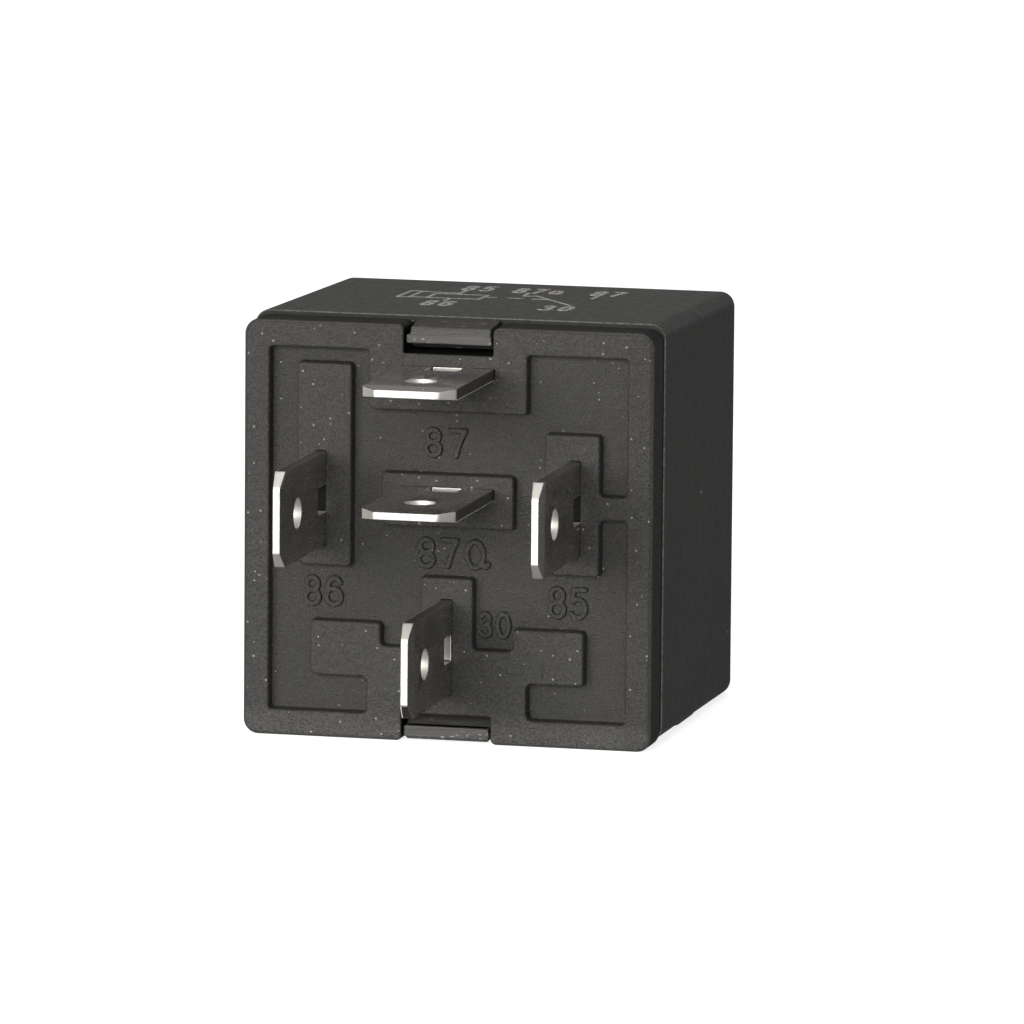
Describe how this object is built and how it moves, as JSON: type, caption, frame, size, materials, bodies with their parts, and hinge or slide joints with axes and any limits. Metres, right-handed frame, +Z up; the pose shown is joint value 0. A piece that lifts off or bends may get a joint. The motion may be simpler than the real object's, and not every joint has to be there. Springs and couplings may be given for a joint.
{
  "type": "automotive relay",
  "caption": "Cube-shaped automotive changeover relay with flat blade terminals, push-fit cover, coil, yoke and a sprung armature that moves the changeover contact.",
  "frame": {"origin": "centre of the footprint of the side that the relay lies on, blades included", "axes": "+Y from the blades into the body, along the plug-in direction; +X to the right seen from the blades; +Z up, towards the side with the circuit print"},
  "size_m": [0.028, 0.0366, 0.0281],
  "materials": {
    "cover_plastic": "black moulded nylon, fine spark texture",
    "base_plastic": "black glass-filled nylon, matte",
    "bobbin_plastic": "natural nylon, moulded",
    "tinned_brass": "brass strip with bright tin plating",
    "enamelled_copper": "enamelled copper wire, glossy",
    "soft_iron": "zinc-plated soft iron",
    "spring_bronze": "rolled bronze strip",
    "steel_rivet": "plated steel, staked heads",
    "contact_silver": "silver alloy contact, satin",
    "solder": "dull tin solder"
  },
  "bodies": {
    "frame": {"case": "cover_plastic", "base": "base_plastic", "terminal_30": "tinned_brass", "terminal_85": "tinned_brass", "terminal_86": "tinned_brass", "terminal_87": "tinned_brass", "terminal_87a": "tinned_brass", "bobbin": "bobbin_plastic", "coil_winding": "enamelled_copper", "core": "soft_iron", "yoke": "soft_iron", "spring_rivets": "steel_rivet", "fixed_contact_no": "contact_silver", "fixed_contact_nc": "contact_silver", "coil_lead_85": "enamelled_copper", "coil_lead_86": "enamelled_copper", "solder_joints": "solder"},
    "armature": {"armature": "soft_iron", "contact_spring": "spring_bronze", "armature_rivets": "steel_rivet", "moving_contact": "contact_silver"}
  },
  "joints": [
    {"name": "armature_hinge", "type": "hinge", "parent": "frame", "child": "armature", "pos_m": [0, 0.012, 0.0025], "axis": [1, 0, 0], "range_deg": [0, 2.5], "stiffness_Nm_per_rad": 0.02, "springref_deg": -8.59, "deforming": ["contact_spring"]}
  ]
}
